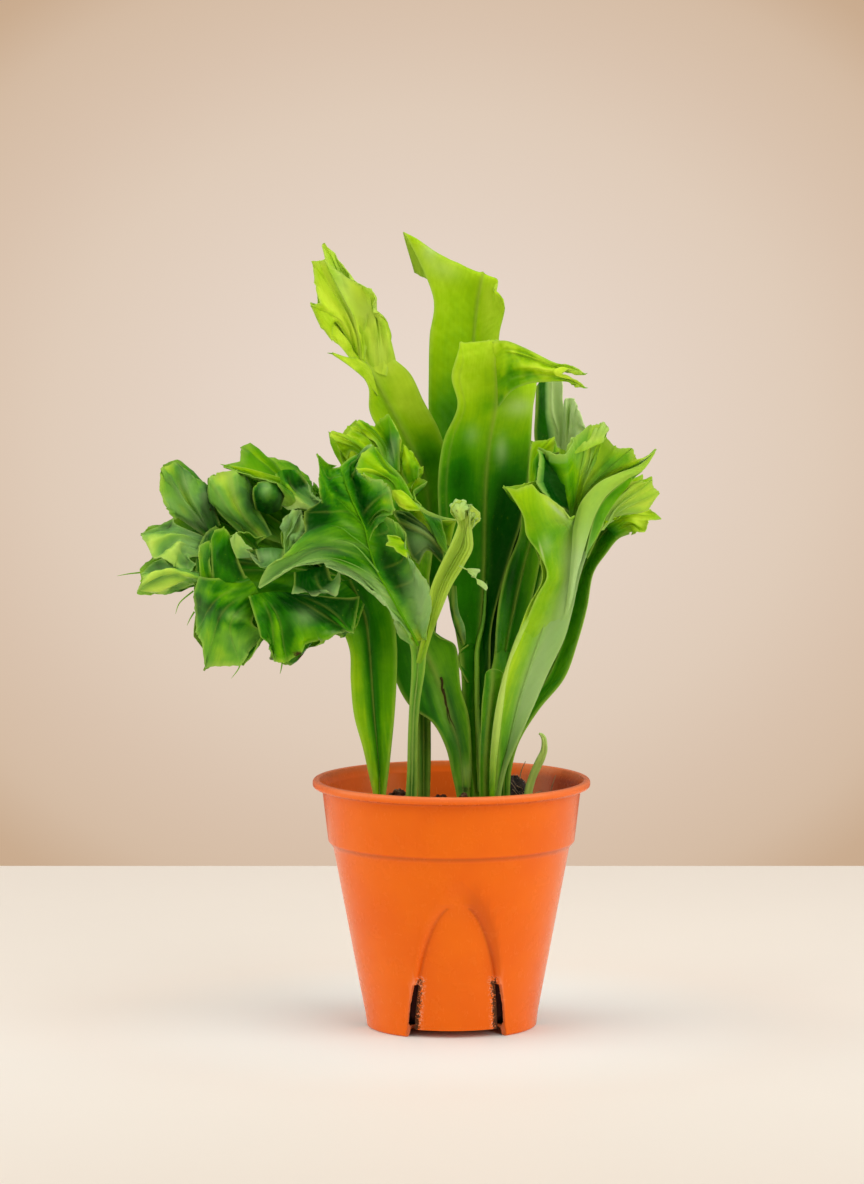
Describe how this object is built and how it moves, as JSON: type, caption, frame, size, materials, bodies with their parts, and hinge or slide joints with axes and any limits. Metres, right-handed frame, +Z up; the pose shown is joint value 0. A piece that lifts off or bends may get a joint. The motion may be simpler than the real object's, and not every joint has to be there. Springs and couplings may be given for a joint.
{
  "type": "potted fern",
  "caption": "Upright crested fern with broad strap fronds ending in frilled, forked crests, standing in soil in a tapered round nursery pot with arched foot panels.",
  "frame": {"origin": "centre of the whole plant's box in X and Y, on the plane that the pot's foot stands on", "axes": "+Z up along the pot's axis; the plant's wide side runs along X and its shallow side along Y, and the pictured side faces -Y. The pot's own axis is 22 mm towards +X from the origin."},
  "size_m": [0.2246, 0.12, 0.3432],
  "materials": {
    "pot_plastic": "satin",
    "soil_mix": "matte",
    "root_mix": "matte",
    "leaf_green": "satin",
    "leaf_bright": "satin",
    "leaf_dark": "satin",
    "leaf_pale": "satin"
  },
  "bodies": {
    "root": {"pot": "pot_plastic", "soil": "soil_mix", "root_clump": "root_mix", "frond_left": "leaf_green", "frond_front": "leaf_green", "frond_middle": "leaf_green", "frond_upper_left": "leaf_bright", "frond_tall": "leaf_bright", "frond_centre": "leaf_green", "frond_right_inner": "leaf_dark", "frond_right_front": "leaf_green", "frond_right_back": "leaf_dark", "frond_back_right": "leaf_pale", "sprout": "leaf_bright"}
  },
  "joints": []
}
